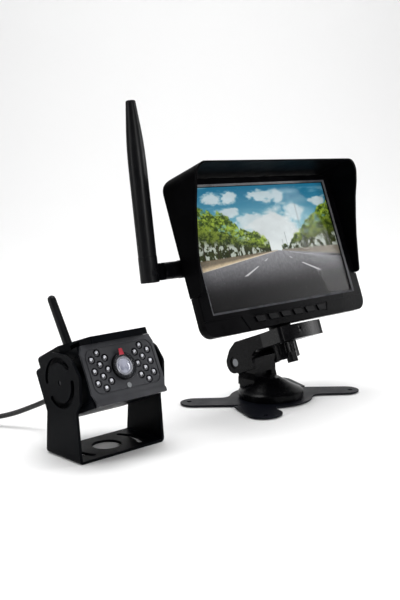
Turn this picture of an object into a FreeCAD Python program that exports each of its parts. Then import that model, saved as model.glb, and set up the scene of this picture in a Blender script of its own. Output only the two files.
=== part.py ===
# Vehicle backup camera kit: a 7 inch monitor with a slip-on sun hood and a
# swivelling antenna on a tilting dash stand, and a separate infrared camera
# in a U bracket with its own stub antenna and lead.
# Millimetres, +Z up, +Y to the rear, +X to the right of the monitor.
# Origin: centre of the stand's round base, on the surface it stands on.
import FreeCAD, Part
import math
import os

V = FreeCAD.Vector
os.makedirs("parts", exist_ok=True)

# ------------------------------------------------------------ dimensions
LEAN = 19.3            # monitor and arm lean back, degrees
OM = (0.0, -5.0, 122.0)  # centre of the screen face
SCREEN_W, SCREEN_H = 152.4, 91.4   # 7 inch 800 x 480 active area
CASE_HW = 87.0         # half width of the monitor case
CASE_TOP = 52.3        # top of the case, under the hood
CASE_BOT = -62.5       # bottom of the case
STEP_Z = -32.6         # case steps out to full width below the hood
HOOD_T = 1.6           # hood wall
HOOD_TOP = 54.8
HOOD_BACK = 8.8
HOOD_REACH = 31.0      # hood stands this far in front of the screen
CASE_Y1, CASE_Y2, CASE_Y3 = 5.0, 9.0, 27.0   # bezel/rear case split, rim, back
KEY_PITCH = 13.5
KEY_W, KEY_H = 9.4, 4.4
KEY_Z = -55.0
STUD_Y = 16.0          # clamp stud axis, behind the screen face
ARM_TOP, ARM_BOT = -64.3, -75.2    # arm head, under the case
PIV_Y, PIV_Z = 58.9, -80.0         # tilt pivot in the monitor's own frame
POST_HW = 11.5
CHEEK_IN, CHEEK_OUT = 12.2, 15.0
DOME_R, DOME_Z0, DOME_Z1 = 25.3, 2.0, 7.2
PLATE_T, PAD_T = 1.2, 0.8
DISC_R = 32.2
# base plate arms: centre of the round end, half width, inner end, hole
ARMS = (((-52.4, 31.0), 10.8, 11.4, (-24.6, 3.6), (-54.6, 34.4)),
        ((-38.4, -29.6), 13.3, 10.6, (-31.0, -4.0), (-42.6, -34.6)))
# monitor antenna: hinge centre in the monitor's frame, and its own lean
ANT = (-107.4, 20.0, -8.0)
ANT_LEAN = 12.8
ANT_LEN = 118.0
# camera unit
OK = (-160.7, -4.5, 0.0)
TILT = 24.85
KZ = 48.8              # pivot height
BR_HW, BR_T = 33.3, 1.8
BR_F, BR_B = -18.6, 19.3
HS_HW = 28.2           # housing half width
FACE_Y = -23.4
REAR_Y = 34.4
LED_R = 2.35
LED_Z0 = -1.7
LENS_R = 8.7
CABLE_D = 3.6


# ------------------------------------------------------------ helpers
def box(x0, x1, y0, y1, z0, z1):
    return Part.makeBox(x1 - x0, y1 - y0, z1 - z0, V(x0, y0, z0))


def cyl(r, p, d, h):
    return Part.makeCylinder(r, h, V(*p), V(*d))


def cone(r0, r1, p, d, h):
    return Part.makeCone(r0, r1, h, V(*p), V(*d))


def ring(ro, ri, p, d, h):
    return cyl(ro, p, d, h).cut(cyl(ri, p, d, h))


def poly(points, vec):
    # prism of a closed polygon (3-D points) along vec
    pts = [V(*p) for p in points]
    w = Part.makePolygon(pts + [pts[0]])
    return Part.Face(w).extrude(V(*vec))


def rpoly(points, radii, plane, at, depth):
    # prism of a polygon with rounded corners. plane "xz", "yz" or "xy";
    # points are 2-D, at is the third coordinate, depth its extrusion
    def lift(a, b):
        if plane == "xz":
            return V(a, at, b)
        if plane == "yz":
            return V(at, a, b)
        return V(a, b, at)
    vec = {"xz": V(0, depth, 0), "yz": V(depth, 0, 0), "xy": V(0, 0, depth)}[plane]
    n = len(points)
    if not isinstance(radii, (list, tuple)):
        radii = [radii] * n
    starts, ends, mids = [], [], []
    for i in range(n):
        p = points[i]
        a = points[i - 1]
        b = points[(i + 1) % n]
        r = radii[i]
        la = math.hypot(a[0] - p[0], a[1] - p[1])
        lb = math.hypot(b[0] - p[0], b[1] - p[1])
        ua = ((a[0] - p[0]) / la, (a[1] - p[1]) / la)
        ub = ((b[0] - p[0]) / lb, (b[1] - p[1]) / lb)
        dot = max(-1.0, min(1.0, ua[0] * ub[0] + ua[1] * ub[1]))
        half = math.acos(dot) / 2
        if r <= 1e-6 or half > math.pi / 2 - 1e-3:
            starts.append(p)
            ends.append(p)
            mids.append(None)
            continue
        t = r / math.tan(half)
        s = (p[0] + ua[0] * t, p[1] + ua[1] * t)
        e = (p[0] + ub[0] * t, p[1] + ub[1] * t)
        bx, by = ua[0] + ub[0], ua[1] + ub[1]
        bl = math.hypot(bx, by)
        cd = r / math.sin(half)
        m = (p[0] + bx / bl * (cd - r), p[1] + by / bl * (cd - r))
        starts.append(s)
        ends.append(e)
        mids.append(m)
    edges = []
    for i in range(n):
        if mids[i] is not None:
            edges.append(Part.Arc(lift(*starts[i]), lift(*mids[i]), lift(*ends[i])).toShape())
        q = starts[(i + 1) % n]
        if math.hypot(q[0] - ends[i][0], q[1] - ends[i][1]) > 1e-6:
            edges.append(Part.LineSegment(lift(*ends[i]), lift(*q)).toShape())
    return Part.Face(Part.Wire(edges)).extrude(vec)


def rrect(x0, x1, z0, z1, r, y, depth, plane="xz"):
    return rpoly([(x0, z0), (x1, z0), (x1, z1), (x0, z1)], r, plane, y, depth)


def fillet(s, r, pick):
    # rounds the edges that pick() chooses, one by one where the set fails
    es = [e for e in s.Edges if pick(e)]
    if not es:
        return s
    try:
        f = s.makeFillet(r, es)
        if f.isValid() and f.Volume > 0:
            return f
    except Exception:
        pass
    return s


def chamfer(s, r, pick):
    es = [e for e in s.Edges if pick(e)]
    if not es:
        return s
    try:
        f = s.makeChamfer(r, es)
        if f.isValid() and f.Volume > 0:
            return f
    except Exception:
        pass
    return s


def at_y(y, tol=1e-3):
    def f(e):
        b = e.BoundBox
        return abs(b.YMin - y) < tol and abs(b.YMax - y) < tol
    return f


def at_z(z, tol=1e-3):
    def f(e):
        b = e.BoundBox
        return abs(b.ZMin - z) < tol and abs(b.ZMax - z) < tol
    return f


def fuse(first, *rest):
    s = first
    for r in rest:
        s = s.fuse(r)
    return s.removeSplitter()


def place(s, origin, deg):
    s = s.copy()
    s.Placement = FreeCAD.Placement(V(*origin), FreeCAD.Rotation(V(1, 0, 0), deg)).multiply(s.Placement)
    return s


def M(s):
    return place(s, OM, -LEAN)


def A(s):
    # antenna frame: x along the stub, z up the rod
    s = s.copy()
    s.Placement = FreeCAD.Placement(V(*ANT), FreeCAD.Rotation(V(1, 0, 0), ANT_LEAN)).multiply(s.Placement)
    return M(s)


def K(s):
    return place(s, OK, 0)


def T(s):
    return place(s, (OK[0], OK[1], OK[2] + KZ), -TILT)


NODES = []


def out(name, s):
    if isinstance(s, (list, tuple)):
        s = Part.makeCompound(list(s))
    solids = s.Solids
    for q in solids:
        if not q.isValid():
            print("INVALID", name)
    s.exportStep("parts/" + name + ".step")
    b = s.BoundBox
    NODES.append(name)
    print("%-20s solids %2d  vol %9.1f  x %7.1f %7.1f  y %7.1f %7.1f  z %7.1f %7.1f" % (
        name, len(solids), s.Volume, b.XMin, b.XMax, b.YMin, b.YMax, b.ZMin, b.ZMax))


def solo(s):
    s = s.removeSplitter()
    if len(s.Solids) == 1:
        return s.Solids[0]
    return max(s.Solids, key=lambda q: q.Volume)


# ------------------------------------------------------------ stand base
out("adhesive_pad", cyl(28.0, (0, 0, 0), (0, 0, 1), PAD_T))


def base_plate():
    # round plate with two long and two short arms, alike after half a turn
    z0 = PAD_T
    s = cyl(DISC_R, (0, 0, z0), (0, 0, 1), PLATE_T)
    for c, hw, hi, q, hole in ARMS:
        for k in (1, -1):
            cx, cy, qx, qy = k * c[0], k * c[1], k * q[0], k * q[1]
            d = math.hypot(qx - cx, qy - cy)
            u = (-(qy - cy) / d, (qx - cx) / d)
            arm = rpoly([(cx + u[0] * hw, cy + u[1] * hw), (qx + u[0] * hi, qy + u[1] * hi),
                         (qx - u[0] * hi, qy - u[1] * hi), (cx - u[0] * hw, cy - u[1] * hw)], 0, "xy", z0, PLATE_T)
            s = s.fuse(arm).fuse(cyl(hw, (cx, cy, z0), (0, 0, 1), PLATE_T))
    s = s.removeSplitter()
    # concave corners between the arms and the disc are rounded
    for r in (8.0, 5.0, 3.0):
        for _ in range(8):
            done = False
            for e in s.Edges:
                b = e.BoundBox
                if b.ZLength < PLATE_T * 0.9 or b.XLength > 1e-3 or b.YLength > 1e-3:
                    continue
                rr = math.hypot(b.XMin, b.YMin)
                if rr > 50.0:
                    continue
                f = s.ancestorsOfType(e, Part.Face) if hasattr(s, "ancestorsOfType") else []
                if len(f) == 2:
                    n1 = f[0].normalAt(*f[0].Surface.parameter(V(b.XMin, b.YMin, z0 + 0.5)))
                    n2 = f[1].normalAt(*f[1].Surface.parameter(V(b.XMin, b.YMin, z0 + 0.5)))
                    if n1.dot(n2) > 0.97:
                        continue
                try:
                    g = s.makeFillet(r, [e])
                    if g.isValid() and g.Volume > s.Volume:
                        s = g
                        done = True
                        break
                except Exception:
                    pass
            if not done:
                break
    for c, hw, hi, q, hole in ARMS:
        for k in (1, -1):
            s = s.cut(cyl(1.9, (k * hole[0], k * hole[1], z0 - 1), (0, 0, 1), 4))
    for k in range(3):
        a = math.radians(30 + 120 * k)
        s = s.cut(cyl(1.7, (17 * math.cos(a), 17 * math.sin(a), z0 - 1), (0, 0, 1), 4))
    return solo(s)


out("base_plate", base_plate())

screws = []
for k in range(3):
    a = math.radians(30 + 120 * k)
    x, y = 17 * math.cos(a), 17 * math.sin(a)
    screws.append(cyl(1.5, (x, y, PAD_T), (0, 0, 1), 6.0))
out("base_screws", screws)

# pivot in the row's own frame
ca, sa = math.cos(math.radians(LEAN)), math.sin(math.radians(LEAN))
PRY = OM[1] + PIV_Y * ca + PIV_Z * sa
PRZ = OM[2] - PIV_Y * sa + PIV_Z * ca
print("pivot y %.2f z %.2f" % (PRY, PRZ))


def base_dome():
    prof = [(0, DOME_Z0), (DOME_R - 0.4, DOME_Z0), (DOME_R, DOME_Z0 + 0.5), (DOME_R, DOME_Z1 - 0.5), (DOME_R - 0.8, DOME_Z1 + 0.25),
            (20.0, 9.6), (14.5, 12.6), (9.6, 15.6), (7.0, 17.2), (0, 17.6)]
    pts = [V(r, 0, z) for r, z in prof]
    s = Part.Face(Part.makePolygon(pts + [pts[0]])).revolve(V(0, 0, 0), V(0, 0, 1), 360)
    # upright post at the back half of the dome, leaning to a knuckle
    side = [(5.4, 6.0), (5.4, 33.0), (11.0, 36.0), (PRY - 3.0, PRZ + 8.5), (PRY + 6.0, PRZ + 5.6),
            (PRY + 7.6, PRZ - 1.5), (PRY + 3.6, PRZ - 7.4), (22.9, 17.0), (22.9, 5.0)]
    post = rpoly(side, [0, 1.6, 3, 4, 4, 4, 3, 0, 0], "yz", -POST_HW, 2 * POST_HW)
    foot = rpoly([(-POST_HW - 1.3, 5.0), (POST_HW + 1.5, 5.0), (POST_HW + 1.5, 15.0), (POST_HW, 20.5), (-POST_HW, 20.5), (-POST_HW - 1.3, 15.0)],
                 [0, 0, 3, 1, 1, 3], "xz", 5.4, 17.5)
    post = post.fuse(foot)
    post = post.common(fuse(cyl(DOME_R - 0.3, (0, 0, 0), (0, 0, 1), 10.2), box(-30, 30, -30, 40, 10.1, 60)))
    s = s.fuse(post).removeSplitter()
    s = solo(s)
    s = s.cut(cyl(3.05, (-30, PRY, PRZ), (1, 0, 0), 60))
    # latch recess in the front of the post
    s = s.cut(rpoly([(-3.6, 15.5), (6.8, 15.5), (6.8, 21.0), (-3.6, 21.0)], [0, 0, 1.2, 1.2], "xz", 4.4, 4.0))
    for k in range(3):
        a = math.radians(30 + 120 * k)
        s = s.cut(cyl(1.5, (17 * math.cos(a), 17 * math.sin(a), 0), (0, 0, 1), PAD_T + 6.0))
    return solo(s)


out("base_dome", base_dome())


# ------------------------------------------------------------ arm (monitor's frame)
def tilt_arm():
    zt, zb = ARM_TOP, ARM_BOT
    # plan of the head: a convex front, flared from the width of the cheeks
    xb, xf = CHEEK_OUT, 21.2
    fy = -4.2
    e = []
    def L(p, q):
        e.append(Part.LineSegment(V(p[0], p[1], zb), V(q[0], q[1], zb)).toShape())
    def C(p, m, q):
        e.append(Part.Arc(V(p[0], p[1], zb), V(m[0], m[1], zb), V(q[0], q[1], zb)).toShape())
    C((-xf + 3.0, fy), (0, fy - 1.6), (xf - 0.9, fy))
    L((xf - 0.9, fy), (xf + 3.4, fy + 1.5))
    L((xf + 3.4, fy + 1.5), (xb, 24.0))
    L((xb, 24.0), (xb, 40.0))
    L((xb, 40.0), (-xb, 40.0))
    L((-xb, 40.0), (-xb, 24.0))
    L((-xb, 24.0), (-xf - 0.1, fy + 3.4))
    C((-xf - 0.1, fy + 3.4), (-xf + 0.75, fy + 0.75), (-xf + 3.0, fy))
    head = Part.Face(Part.Wire(e)).extrude(V(0, 0, zt - zb))
    # cheeks, from the side
    side = [(34.0, zt), (34.0, zb), (39.3, zb - 3.6), (39.3, -87.6), (56.5, -88.6), (66.0, -87.6), (69.6, -78.5),
            (61.6, -69.2), (53.0, zt)]
    che = rpoly(side, [0, 4.5, 2.6, 0.8, 3.0, 7.0, 8.0, 6.0, 2.5], "yz", -CHEEK_OUT, 2 * CHEEK_OUT)
    s = head.fuse(che).removeSplitter()
    # slot between the cheeks for the post, under a thin web
    web = zt - 2.4
    s = s.cut(box(-CHEEK_IN, CHEEK_IN, 33.0, 75.0, -95.0, web))
    s = s.cut(box(-CHEEK_IN, CHEEK_IN, 47.0, 75.0, -95.0, zt + 1))
    # lightening pocket under the head, stud bore and the dimple in front
    s = s.cut(cyl(2.97, (0, STUD_Y, zb - 1), (0, 0, 1), 20))
    s = s.cut(cyl(1.1, (-2.0, fy - 3.0, -68.2), (0, 1, 0), 2.4))
    # pivot bore and the recess of the bolt head
    s = s.cut(cyl(3.0, (-30, PIV_Y, PIV_Z), (1, 0, 0), 60))
    s = s.cut(cyl(5.0, (-CHEEK_OUT - 0.1, PIV_Y, PIV_Z), (1, 0, 0), 0.9))
    # stop lug under the head, beside the knob
    s = s.fuse(rpoly([(9.9, 16.4), (14.0, 16.4), (14.0, 27.0), (9.9, 27.0)], 0.8, "xy", -82.7, 82.7 + zb + 0.5)).removeSplitter()
    return solo(s)


out("tilt_arm", M(tilt_arm()))

# bolt with a recessed pan head on the left, lock nut on the right
def pan_head(r, h, p, d, slot=True):
    # shallow domed head with a cross recess, along d from p
    base = cyl(r, p, d, h * 0.55)
    dv = V(*d)
    top = V(*p) + dv * (h * 0.55)
    cap = Part.makeCone(r, r * 0.55, h * 0.45, top, dv)
    s = base.fuse(cap).removeSplitter()
    return s


bolt = fuse(cyl(2.98, (-CHEEK_OUT + 0.75, PIV_Y, PIV_Z), (1, 0, 0), 2 * CHEEK_OUT + 2.4),
            cyl(4.3, (-CHEEK_OUT - 1.4, PIV_Y, PIV_Z), (1, 0, 0), 2.1))
bolt = bolt.cut(box(-CHEEK_OUT - 1.5, -CHEEK_OUT - 0.6, PIV_Y - 2.6, PIV_Y + 2.6, PIV_Z - 0.5, PIV_Z + 0.5))
bolt = bolt.cut(box(-CHEEK_OUT - 1.5, -CHEEK_OUT - 0.6, PIV_Y - 0.5, PIV_Y + 0.5, PIV_Z - 2.6, PIV_Z + 2.6))
out("pivot_bolt", M(solo(bolt)))
hexa = [(PIV_Y + 5.0 * math.cos(math.radians(60 * i)), PIV_Z + 5.0 * math.sin(math.radians(60 * i))) for i in range(6)]
nut = rpoly(hexa, 0, "yz", CHEEK_OUT, 3.6).cut(cyl(2.98, (0, PIV_Y, PIV_Z), (1, 0, 0), 40))
out("pivot_nut", M(nut))
out("pivot_washers", [M(ring(6.6, 3.0, (sx * 11.95 - 0.25, PIV_Y, PIV_Z), (1, 0, 0), 0.5)) for sx in (-1, 1)])

# clamp knob and stud, under the head
KT, KF, KB = -75.6, -83.4, -87.5


def clamp_knob():
    # fluted body on a plain flange, with a turned-down thumb tab
    s = cyl(9.1, (0, STUD_Y, KF), (0, 0, 1), KT - KF)
    for i in range(10):
        a = math.radians(36 * i + 10)
        s = s.cut(cyl(1.7, (10.0 * math.cos(a), STUD_Y + 10.0 * math.sin(a), KF - 1), (0, 0, 1), 20))
    fl = cyl(9.3, (0, STUD_Y, KB), (0, 0, 1), KF - KB)
    fl = fillet(fl, 1.0, at_z(KB))
    s = s.fuse(fl)
    for ang, z0 in ((-114.0, -91.0),):
        a = math.radians(ang)
        d, n = (math.cos(a), math.sin(a)), (-math.sin(a), math.cos(a))
        pts = []
        for u, w in ((6.0, -3.6), (10.6, -3.3), (12.6, -2.0), (12.6, 2.0), (10.6, 3.3), (6.0, 3.6)):
            pts.append((d[0] * u + n[0] * w, STUD_Y + d[1] * u + n[1] * w))
        lobe = rpoly(pts, [0, 1.5, 1.2, 1.2, 1.5, 0], "xy", z0, KF - z0)
        s = s.fuse(lobe)
    s = s.removeSplitter()
    s = s.cut(cyl(2.9, (0, STUD_Y, KB + 4.0), (0, 0, 1), 30))
    return solo(s)


out("clamp_knob", M(clamp_knob()))
out("clamp_stud", M(cyl(2.9, (0, STUD_Y, KB + 4.0), (0, 0, 1), -54.0 - (KB + 4.0))))


# ------------------------------------------------------------ monitor (its own frame)
def case_outline(d_upper=0.0, r=9.7):
    # front view of the case: narrower above the step where the hood fits
    a = CASE_HW - HOOD_T - 0.3 - d_upper
    b = CASE_HW - d_upper
    return ([(-b, CASE_BOT + d_upper), (b, CASE_BOT + d_upper), (b, STEP_Z - d_upper), (a, STEP_Z - d_upper), (a, CASE_TOP - d_upper),
             (-a, CASE_TOP - d_upper), (-a, STEP_Z - d_upper), (-b, STEP_Z - d_upper)],
            [9.0 - d_upper, 9.0 - d_upper, 0, 0, r, r, 0, 0])


KEYS = [(-2.5 + i) * KEY_PITCH + 0.3 for i in range(6)]


def key_points(grow=0.0):
    # slanted key: the top edge is set a little to the left of the bottom edge
    w, h = KEY_W / 2 + grow, KEY_H / 2 + grow
    return [(-w + 0.9, -h), (w + 0.9 - 0.5, -h), (w - 0.9, h), (-w - 0.9, h)]


def front_bezel():
    p, r = case_outline()
    s = rpoly(p, r, "xz", 0.0, CASE_Y1)
    s = fillet(s, 0.9, at_y(0.0))
    # inner room, leaving the front wall and the side walls
    pi, ri = case_outline(1.8, 8.0)
    s = s.cut(rpoly(pi, ri, "xz", 2.0, 10.0))
    # step down behind the lip for the cover glass
    s = s.cut(rrect(-79.4, 79.4, -48.6, 48.4, 1.0, 0.9, 5.0))
    # window with a bevelled edge
    hw, z0, z1 = SCREEN_W / 2 + 0.2, -SCREEN_H / 2 - 0.2, SCREEN_H / 2 + 0.2
    s = s.cut(rrect(-hw, hw, z0, z1, 0.4, -1.0, 5.0))
    w0 = Part.makePolygon([V(-hw - 1.5, -0.02, z0 - 1.5), V(hw + 1.5, -0.02, z0 - 1.5), V(hw + 1.5, -0.02, z1 + 1.5), V(-hw - 1.5, -0.02, z1 + 1.5), V(-hw - 1.5, -0.02, z0 - 1.5)])
    w1 = Part.makePolygon([V(-hw, 0.8, z0), V(hw, 0.8, z0), V(hw, 0.8, z1), V(-hw, 0.8, z1), V(-hw, 0.8, z0)])
    s = s.cut(Part.makeLoft([w0, w1], True))
    # lowered corner panels either side of the control area
    for sx in (-1, 1):
        s = s.cut(poly([(sx * 90, -0.1, -50.4), (sx * 51.5, -0.1, -51.2), (sx * 44.2, -0.1, -65.0), (sx * 90, -0.1, -65.0)], (0, 0.6, 0)))
    # key tray and key holes
    s = s.cut(rpoly([(-39.4, -58.6), (39.4, -58.6), (42.2, -51.4), (-42.2, -51.4)], 1.4, "xz", -1.0, 1.45))
    for x in KEYS:
        pts = [(x + a, KEY_Z + b) for a, b in key_points(0.3)]
        s = s.cut(rpoly(pts, 0.7, "xz", -1.0, 5.0))
    # room behind the keys for their flanges
    s = s.cut(box(-43.0, 43.0, 1.25, 6.0, -59.6, -50.8))
    return solo(s)


out("front_bezel", M(front_bezel()))

for i, x in enumerate(KEYS):
    pts = [(x + a, KEY_Z + b) for a, b in key_points(0.0)]
    cap = rpoly(pts, 0.5, "xz", -0.55, 2.1)
    cap = fillet(cap, 0.25, at_y(-0.55))
    fl = rpoly([(x + a, KEY_Z + b) for a, b in key_points(0.75)], 0.8, "xz", 1.55, 0.4)
    out("button_%d" % (i + 1), M(fuse(cap, fl)))

out("button_switches", [M(box(x - 2.2, x + 2.2, 2.45, 3.4, KEY_Z - 1.8, KEY_Z + 1.8)) for x in KEYS])
out("button_board", M(box(-42.0, 42.0, 3.4, 4.8, -59.2, -51.4)))
out("screen_glass", M(rrect(-79.0, 79.0, -48.2, 48.0, 0.8, 0.95, 1.0)))
out("lcd_panel", M(rpoly([(-82.0, -50.4), (82.0, -50.4), (82.0, 49.8), (-82.0, 49.8)], [0, 0, 6.5, 6.5], "xz", 2.1, 4.9)))
out("main_board", M(box(-60.0, 60.0, 10.0, 11.6, -42.0, 34.0)))
out("speaker", M(fuse(cyl(13.0, (40.0, 15.5, -12.0), (0, 1, 0), 6.0), cyl(8.0, (40.0, 12.2, -12.0), (0, 1, 0), 3.4))))


def rear_case():
    # outer body: rim then a tapered back
    p, r = case_outline()
    rim = rpoly(p, r, "xz", CASE_Y1, CASE_Y2 - CASE_Y1)
    rim = fillet(rim, 1.8, at_y(CASE_Y2))

    def taper(y0, y1, x0, x1, zb0, zb1, zt0, zt1, rr):
        def w(y, hx, zb, zt):
            f = rrect(-hx, hx, zb, zt, rr, y, 1.0)
            fc = [q for q in f.Faces if abs(q.BoundBox.YMax - y) < 1e-4][0]
            return fc.OuterWire
        return Part.makeLoft([w(y0, x0, zb0, zt0), w(y1, x1, zb1, zt1)], True)
    back = taper(CASE_Y2 - 2.0, CASE_Y3, 82.0, 69.5, -60.0, -55.0, 47.5, 36.0, 6.0)
    back = fillet(back, 2.5, at_y(CASE_Y3))
    boss = cyl(8.6, (0, STUD_Y, CASE_BOT), (0, 0, 1), 9.0)
    ab = cyl(6.4, (-80.6, ANT[1], ANT[2]), (1, 0, 0), 14.0)
    s = rim.fuse(back).fuse(boss).fuse(ab).removeSplitter()
    pi, ri = case_outline(1.8, 8.0)
    inner = rpoly(pi, ri, "xz", CASE_Y1 - 1.0, CASE_Y2 - CASE_Y1 - 1.0)
    room = taper(CASE_Y2 - 2.5, CASE_Y3 - 2.0, 80.0, 67.5, -57.9, -53.0, 45.4, 34.0, 4.0)
    s = s.cut(inner)
    s = s.cut(room.cut(box(-8.8, 8.8, 0, 30, -70, CASE_BOT + 9.0)).cut(cyl(6.6, (-80.6, ANT[1], ANT[2]), (1, 0, 0), 14.0)))
    # stud bore in the boss and the insert's seat above it
    s = s.cut(cyl(3.0, (0, STUD_Y, CASE_BOT - 1), (0, 0, 1), 16))
    s = s.cut(cyl(5.0, (0, STUD_Y, -59.0), (0, 0, 1), 20))
    # antenna socket bore, power inlet, speaker slots, vents
    s = s.cut(cyl(3.2, (-82, ANT[1], ANT[2]), (1, 0, 0), 22))
    s = s.cut(cyl(4.6, (-60.0, 18.0, -66.0), (0, 0, 1), 14))
    for i in range(7):
        z = -24.0 + 4.0 * i
        s = s.cut(rrect(40.0 - 9.0, 40.0 + 9.0, z - 0.9, z + 0.9, 0.85, 23.0, 10.0))
    for i in range(9):
        x = -44.0 + 5.5 * i
        s = s.cut(rrect(x - 0.9, x + 0.9, 14.0, 28.0, 0.85, 23.0, 10.0))
    for sx in (-1, 1):
        for z in (-46.0, 40.5):
            s = s.cut(cyl(1.6, (sx * 78.6, -1, z), (0, 1, 0), 40))
    return solo(s)


out("rear_case", M(rear_case()))
out("case_screws", [M(cyl(1.5, (sx * 78.6, 7.4, z), (0, 1, 0), 5.2)) for sx in (-1, 1) for z in (-46.0, 40.5)])
hx = [(4.9 * math.cos(math.radians(60 * i)), STUD_Y + 4.9 * math.sin(math.radians(60 * i))) for i in range(6)]
out("stud_insert", M(rpoly(hx, 0, "xy", -59.0, 5.0).cut(cyl(2.97, (0, STUD_Y, -70), (0, 0, 1), 30))))
out("swivel_pad", M(ring(8.4, 3.2, (0, STUD_Y, CASE_BOT - 1.4), (0, 0, 1), 1.4)))
out("power_inlet", M(ring(4.5, 2.6, (-60.0, 18.0, -58.6), (0, 0, 1), 8.5).fuse(cyl(4.5, (-60.0, 18.0, -50.1), (0, 0, 1), 1.5)).removeSplitter()))
out("antenna_socket", M(fuse(cyl(3.1, (-90.0, ANT[1], ANT[2]), (1, 0, 0), 23.4), cyl(4.7, (-66.6, ANT[1], ANT[2]), (1, 0, 0), 2.2))))


def sun_hood():
    # U-shaped hood: the outer block less the inner block, trimmed to the
    # wings' sloping profile
    x, t = CASE_HW, HOOD_T
    prof = [(HOOD_BACK, STEP_Z + 0.3), (HOOD_BACK, HOOD_TOP), (-HOOD_REACH, HOOD_TOP), (-25.4, 37.2), (-20.5, 26.3), (-15.1, 10.4),
            (-11.2, -2.4), (-8.7, -12.3), (-5.6, -25.5), (-4.0, STEP_Z + 0.3)]
    side = rpoly(prof, [0, 6.0, 1.5, 20, 0, 0, 0, 0, 0, 3.2], "yz", -x, 2 * x)
    u = rpoly([(-x, -40), (x, -40), (x, HOOD_TOP), (-x, HOOD_TOP)], [0, 0, 11.6, 11.6], "xz", -40, 60)
    ui = rpoly([(-x + t, -45), (x - t, -45), (x - t, HOOD_TOP - t), (-x + t, HOOD_TOP - t)], [0, 0, 10.0, 10.0], "xz", -41, 62)
    s = side.common(u).cut(ui)
    return solo(s)


out("sun_hood", M(sun_hood()))

# antenna: turning collar with a fork, folding rod, hinge screw
def antenna_collar():
    x0 = -80.9 - ANT[0]
    s = cyl(6.1, (11.2, 0, 0), (1, 0, 0), x0 - 11.2)
    s = chamfer(s, 0.7, lambda e: abs(e.BoundBox.XMin - 11.2) < 1e-3 and abs(e.BoundBox.XMax - 11.2) < 1e-3)
    s = s.cut(ring(8.0, 5.6, (x0 - 8.6, 0, 0), (1, 0, 0), 0.8))
    s = s.cut(cyl(3.16, (16.0, 0, 0), (1, 0, 0), 30))
    # flat tongue with a round end, carried by the hinge screw
    tongue = cyl(5.3, (0, -2.9, 0), (0, 1, 0), 5.8).fuse(box(0, 12.0, -2.9, 2.9, -5.3, 5.3))
    tongue = tongue.fuse(box(8.2, 12.0, -2.9, 2.9, -6.0, 6.0))
    s = s.fuse(tongue).removeSplitter()
    s = s.cut(cyl(1.5, (0, -10, 0), (0, 1, 0), 20))
    return solo(s)


out("antenna_collar", A(antenna_collar()))


def antenna_rod():
    # sleeve with the hinge slot at the foot of a tapering rod
    prof = [(0, -6.8), (6.25, -6.8), (6.65, -6.4), (6.65, 11.0), (6.45, 11.3), (6.45, 66.0), (6.35, 77.0), (6.15, 84.0), (5.85, 90.5),
            (5.35, 97.3), (4.7, 104.2), (4.05, 111.0), (3.4, ANT_LEN - 0.6), (3.0, ANT_LEN), (0, ANT_LEN)]
    pts = [V(r, 0, z) for r, z in prof]
    s = Part.Face(Part.makePolygon(pts + [pts[0]])).revolve(V(0, 0, 0), V(0, 0, 1), 360)
    slot = cyl(5.6, (0, -3.2, 0), (0, 1, 0), 6.4).fuse(box(0, 12.0, -3.2, 3.2, -5.6, 5.6))
    slot = slot.fuse(box(-5.6, 5.6, -3.2, 3.2, -12.0, 0)).fuse(box(0, 12.0, -3.2, 3.2, -12.0, 0))
    s = s.cut(slot)
    s = s.cut(cyl(1.56, (0, -10, 0), (0, 1, 0), 20))
    s = s.cut(cyl(2.45, (0, -10, 0), (0, 1, 0), 4.3)).cut(cyl(2.45, (0, 5.7, 0), (0, 1, 0), 4.3))
    return solo(s)


out("antenna_rod", A(antenna_rod()))
pin = fuse(cyl(1.5, (0, -5.7, 0), (0, 1, 0), 11.4), cyl(2.3, (0, -6.65, 0), (0, 1, 0), 0.9))
pin = pin.cut(box(-1.6, 1.6, -6.7, -6.1, -0.35, 0.35)).cut(box(-0.35, 0.35, -6.7, -6.1, -1.6, 1.6))
out("antenna_pin", A(solo(pin)))


# ------------------------------------------------------------ camera bracket
def camera_bracket():
    w, t = BR_HW, BR_T
    # U from the front: base and two legs, with bends
    u = rpoly([(-w, 0), (w, 0), (w, 80), (-w, 80)], [2.6, 2.6, 0, 0], "xz", -30, 60)
    ui = rpoly([(-w + t, t), (w - t, t), (w - t, 90), (-w + t, 90)], [0.8, 0.8, 0, 0], "xz", -31, 62)
    shell = u.cut(ui)
    z = KZ
    side = [(BR_F, -1), (BR_F, 3.0), (-17.0, 30.0), (-17.0, 33.0), (-21.2, 38.5), (-21.8, z + 7.0), (-14.6, z + 15.4), (-7.0, z + 18.4),
            (7.0, z + 18.4), (14.6, z + 15.4), (21.8, z + 7.0), (21.2, 38.5), (16.4, 33.0), (16.2, 29.0), (BR_B, 3.0), (BR_B, -1)]
    outline = rpoly(side, [0, 0, 0, 3.0, 5, 5, 3, 3, 3, 3, 5, 5, 3.0, 0, 0, 0], "yz", -w - 1, 2 * w + 2)
    s = shell.common(outline)
    # cable hole and two arc slots in the base
    s = s.cut(cyl(9.75, (0, 0, -1), (0, 0, 1), 5))
    for c in (0, 180):
        s = s.cut(arc_slot(22.0, 2.1, c - 31, c + 31, (0, 0, -1), "xy", 5))
    # pivot holes and two arc slots in each ear
    s = s.cut(cyl(1.53, (-w - 2, 0, z), (1, 0, 0), 2 * w + 4))
    for a0, a1 in ((-4, 130), (170, 309)):
        s = s.cut(arc_slot(14.4, 1.75, a0, a1, (-w - 2, 0, z), "yz", 2 * w + 4))
    return solo(s)


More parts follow.
